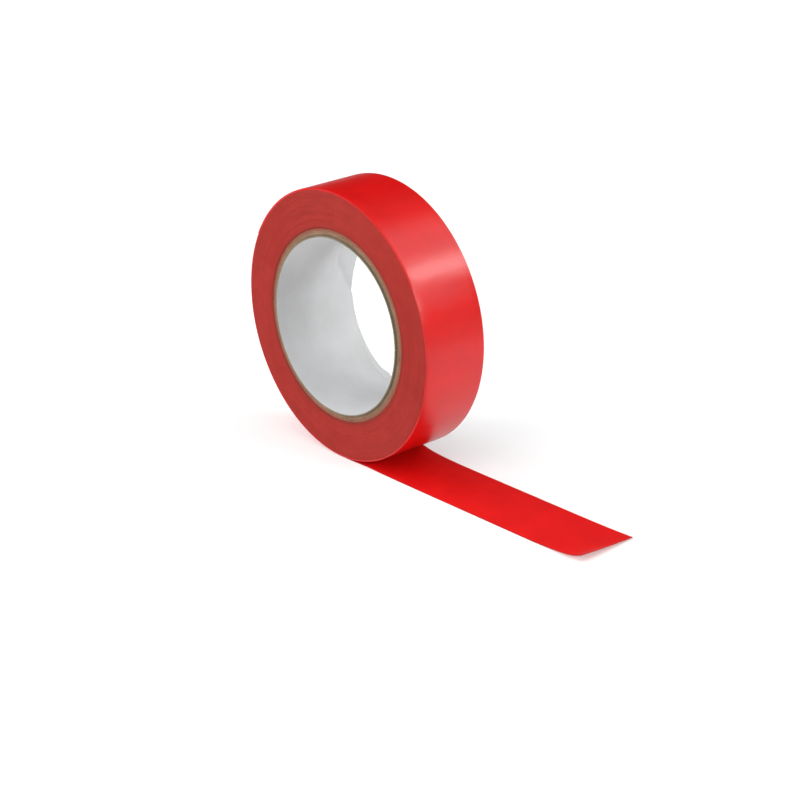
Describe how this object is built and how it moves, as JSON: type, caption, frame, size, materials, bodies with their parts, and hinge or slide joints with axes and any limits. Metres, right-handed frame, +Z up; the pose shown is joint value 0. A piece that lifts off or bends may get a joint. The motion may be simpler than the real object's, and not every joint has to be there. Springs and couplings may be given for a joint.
{
  "type": "electrical tape roll",
  "caption": "Roll of red PVC electrical tape on a paper core, standing on its own tape with the free tail laid out in front.",
  "frame": {"origin": "on the underside of the tape, straight below the roll's axis", "axes": "+X along the laid tail, +Y along the roll's axis from the flush side to the side where the liner stands out, +Z up"},
  "size_m": [0.1008, 0.02, 0.0576],
  "materials": {
    "tape_strip": "satin red PVC film, with a slightly duller adhesive face",
    "tape_edges": "matte slit edges of about 60 turns, with the satin backing of the outer turn",
    "kraft_board": "raw cut edge of brown core board",
    "liner_paper": "smooth white paper, creased at its free edge"
  },
  "bodies": {
    "laid_tape": {"tape_under_roll": "tape_strip"},
    "turn_1": {"turn_1": "tape_strip"},
    "turn_2": {"turn_2": "tape_strip"},
    "turn_3": {"turn_3": "tape_strip"},
    "turn_4": {"turn_4": "tape_strip"},
    "turn_5": {"turn_5": "tape_strip"},
    "turn_6": {"turn_6": "tape_strip"},
    "turn_7": {"turn_7": "tape_strip"},
    "roll": {"wound_turns": "tape_edges", "core_liner": "liner_paper", "core_ply_1": "kraft_board", "core_ply_2": "kraft_board", "core_ply_3": "kraft_board", "core_ply_4": "kraft_board"},
    "tail_1": {"tail_1": "tape_strip"},
    "tail_2": {"tail_2": "tape_strip"},
    "tail_3": {"tail_3": "tape_strip"},
    "tail_4": {"tail_4": "tape_strip"},
    "tail_5": {"tail_5": "tape_strip"},
    "tail_6": {"tail_6": "tape_strip"},
    "tail_7": {"tail_7": "tape_strip"},
    "tail_8": {"tail_8": "tape_strip"},
    "tail_9": {"tail_9": "tape_strip"}
  },
  "joints": [
    {"name": "turn_hinge_1", "type": "hinge", "parent": "laid_tape", "child": "turn_1", "pos_m": [-0.00379, 0, 0.00013], "axis": [0, -1, 0], "range_deg": [0, 15]},
    {"name": "turn_hinge_2", "type": "hinge", "parent": "turn_1", "child": "turn_2", "pos_m": [-0.0111, 0, 0.00209], "axis": [0, -1, 0], "range_deg": [0, 15]},
    {"name": "turn_hinge_3", "type": "hinge", "parent": "turn_2", "child": "turn_3", "pos_m": [-0.01765, 0, 0.00587], "axis": [0, -1, 0], "range_deg": [0, 15]},
    {"name": "turn_hinge_4", "type": "hinge", "parent": "turn_3", "child": "turn_4", "pos_m": [-0.02301, 0, 0.01123], "axis": [0, -1, 0], "range_deg": [0, 15]},
    {"name": "turn_hinge_5", "type": "hinge", "parent": "turn_4", "child": "turn_5", "pos_m": [-0.02679, 0, 0.01778], "axis": [0, -1, 0], "range_deg": [0, 15]},
    {"name": "turn_hinge_6", "type": "hinge", "parent": "turn_5", "child": "turn_6", "pos_m": [-0.02875, 0, 0.02509], "axis": [0, -1, 0], "range_deg": [0, 15]},
    {"name": "turn_hinge_7", "type": "hinge", "parent": "turn_6", "child": "turn_7", "pos_m": [-0.02875, 0, 0.03266], "axis": [0, -1, 0], "range_deg": [0, 15]},
    {"name": "draw_off", "type": "hinge", "parent": "turn_7", "child": "roll", "pos_m": [-0.02679, 0, 0.03998], "axis": [0, -1, 0], "range_deg": [0, 15]},
    {"name": "tail_wrap", "type": "hinge", "parent": "laid_tape", "child": "tail_1", "pos_m": [0.00379, 0, 0.00013], "axis": [0, -1, 0], "range_deg": [0, 15]},
    {"name": "tail_hinge_2", "type": "hinge", "parent": "tail_1", "child": "tail_2", "pos_m": [0.01136, 0, 0.00013], "axis": [0, -1, 0], "range_deg": [0, 15]},
    {"name": "tail_hinge_3", "type": "hinge", "parent": "tail_2", "child": "tail_3", "pos_m": [0.01893, 0, 0.00013], "axis": [0, -1, 0], "range_deg": [0, 15]},
    {"name": "tail_hinge_4", "type": "hinge", "parent": "tail_3", "child": "tail_4", "pos_m": [0.0265, 0, 0.00013], "axis": [0, -1, 0], "range_deg": [0, 15]},
    {"name": "tail_hinge_5", "type": "hinge", "parent": "tail_4", "child": "tail_5", "pos_m": [0.03407, 0, 0.00013], "axis": [0, -1, 0], "range_deg": [0, 15]},
    {"name": "tail_hinge_6", "type": "hinge", "parent": "tail_5", "child": "tail_6", "pos_m": [0.04164, 0, 0.00013], "axis": [0, -1, 0], "range_deg": [0, 15]},
    {"name": "tail_hinge_7", "type": "hinge", "parent": "tail_6", "child": "tail_7", "pos_m": [0.04921, 0, 0.00013], "axis": [0, -1, 0], "range_deg": [0, 15]},
    {"name": "tail_hinge_8", "type": "hinge", "parent": "tail_7", "child": "tail_8", "pos_m": [0.05678, 0, 0.00013], "axis": [0, -1, 0], "range_deg": [0, 10]},
    {"name": "tail_hinge_9", "type": "hinge", "parent": "tail_8", "child": "tail_9", "pos_m": [0.06432, 0, 0.00079], "axis": [0, -1, 0], "range_deg": [0, 10]}
  ],
  "couplings": [
    {"joint": "turn_hinge_1", "follows": "draw_off", "ratio": 1},
    {"joint": "turn_hinge_2", "follows": "draw_off", "ratio": 1},
    {"joint": "turn_hinge_3", "follows": "draw_off", "ratio": 1},
    {"joint": "turn_hinge_4", "follows": "draw_off", "ratio": 1},
    {"joint": "turn_hinge_5", "follows": "draw_off", "ratio": 1},
    {"joint": "turn_hinge_6", "follows": "draw_off", "ratio": 1},
    {"joint": "turn_hinge_7", "follows": "draw_off", "ratio": 1},
    {"joint": "tail_hinge_2", "follows": "tail_wrap", "ratio": 1},
    {"joint": "tail_hinge_3", "follows": "tail_wrap", "ratio": 1},
    {"joint": "tail_hinge_4", "follows": "tail_wrap", "ratio": 1},
    {"joint": "tail_hinge_5", "follows": "tail_wrap", "ratio": 1},
    {"joint": "tail_hinge_6", "follows": "tail_wrap", "ratio": 1},
    {"joint": "tail_hinge_7", "follows": "tail_wrap", "ratio": 1},
    {"joint": "tail_hinge_8", "follows": "tail_wrap", "ratio": 0.66667},
    {"joint": "tail_hinge_9", "follows": "tail_wrap", "ratio": 0.66667}
  ]
}
